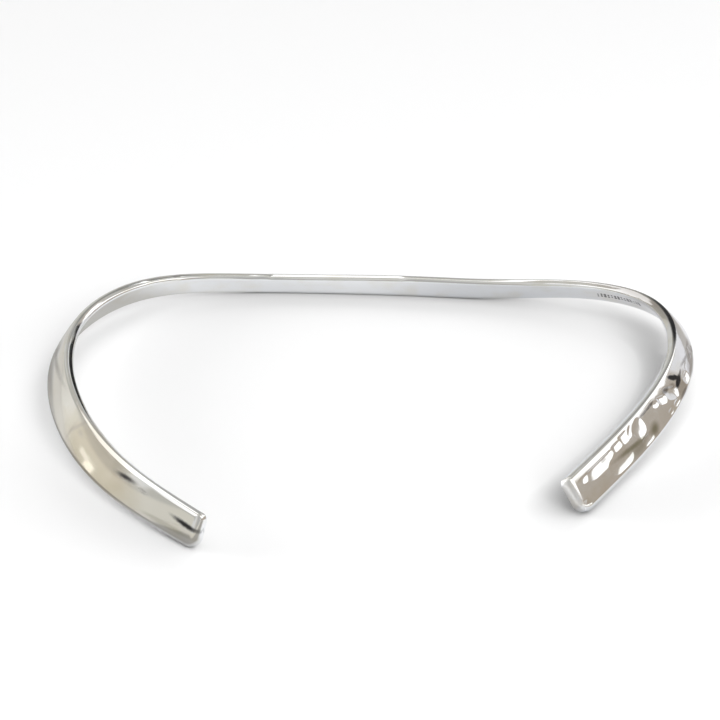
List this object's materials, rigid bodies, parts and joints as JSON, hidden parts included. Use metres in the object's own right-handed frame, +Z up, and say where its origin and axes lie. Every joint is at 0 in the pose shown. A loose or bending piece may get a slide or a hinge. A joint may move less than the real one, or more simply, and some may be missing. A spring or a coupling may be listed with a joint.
{
  "type": "choker necklace",
  "caption": "Rigid open choker: a polished silver band that curves round the neck and widens towards its rounded ends, plain on the left arm and hammered on the right.",
  "frame": {"origin": "middle of the collar's box in plan, on the surface it lies on", "axes": "+Z up, +Y from the open gap towards the nape, +X towards the hammered arm"},
  "size_m": [0.1314, 0.106, 0.0089],
  "materials": {
    "silver": "mirror-polished silver, hammered on the outer face of the right arm"
  },
  "bodies": {
    "root": {"collar": "silver"}
  },
  "joints": []
}
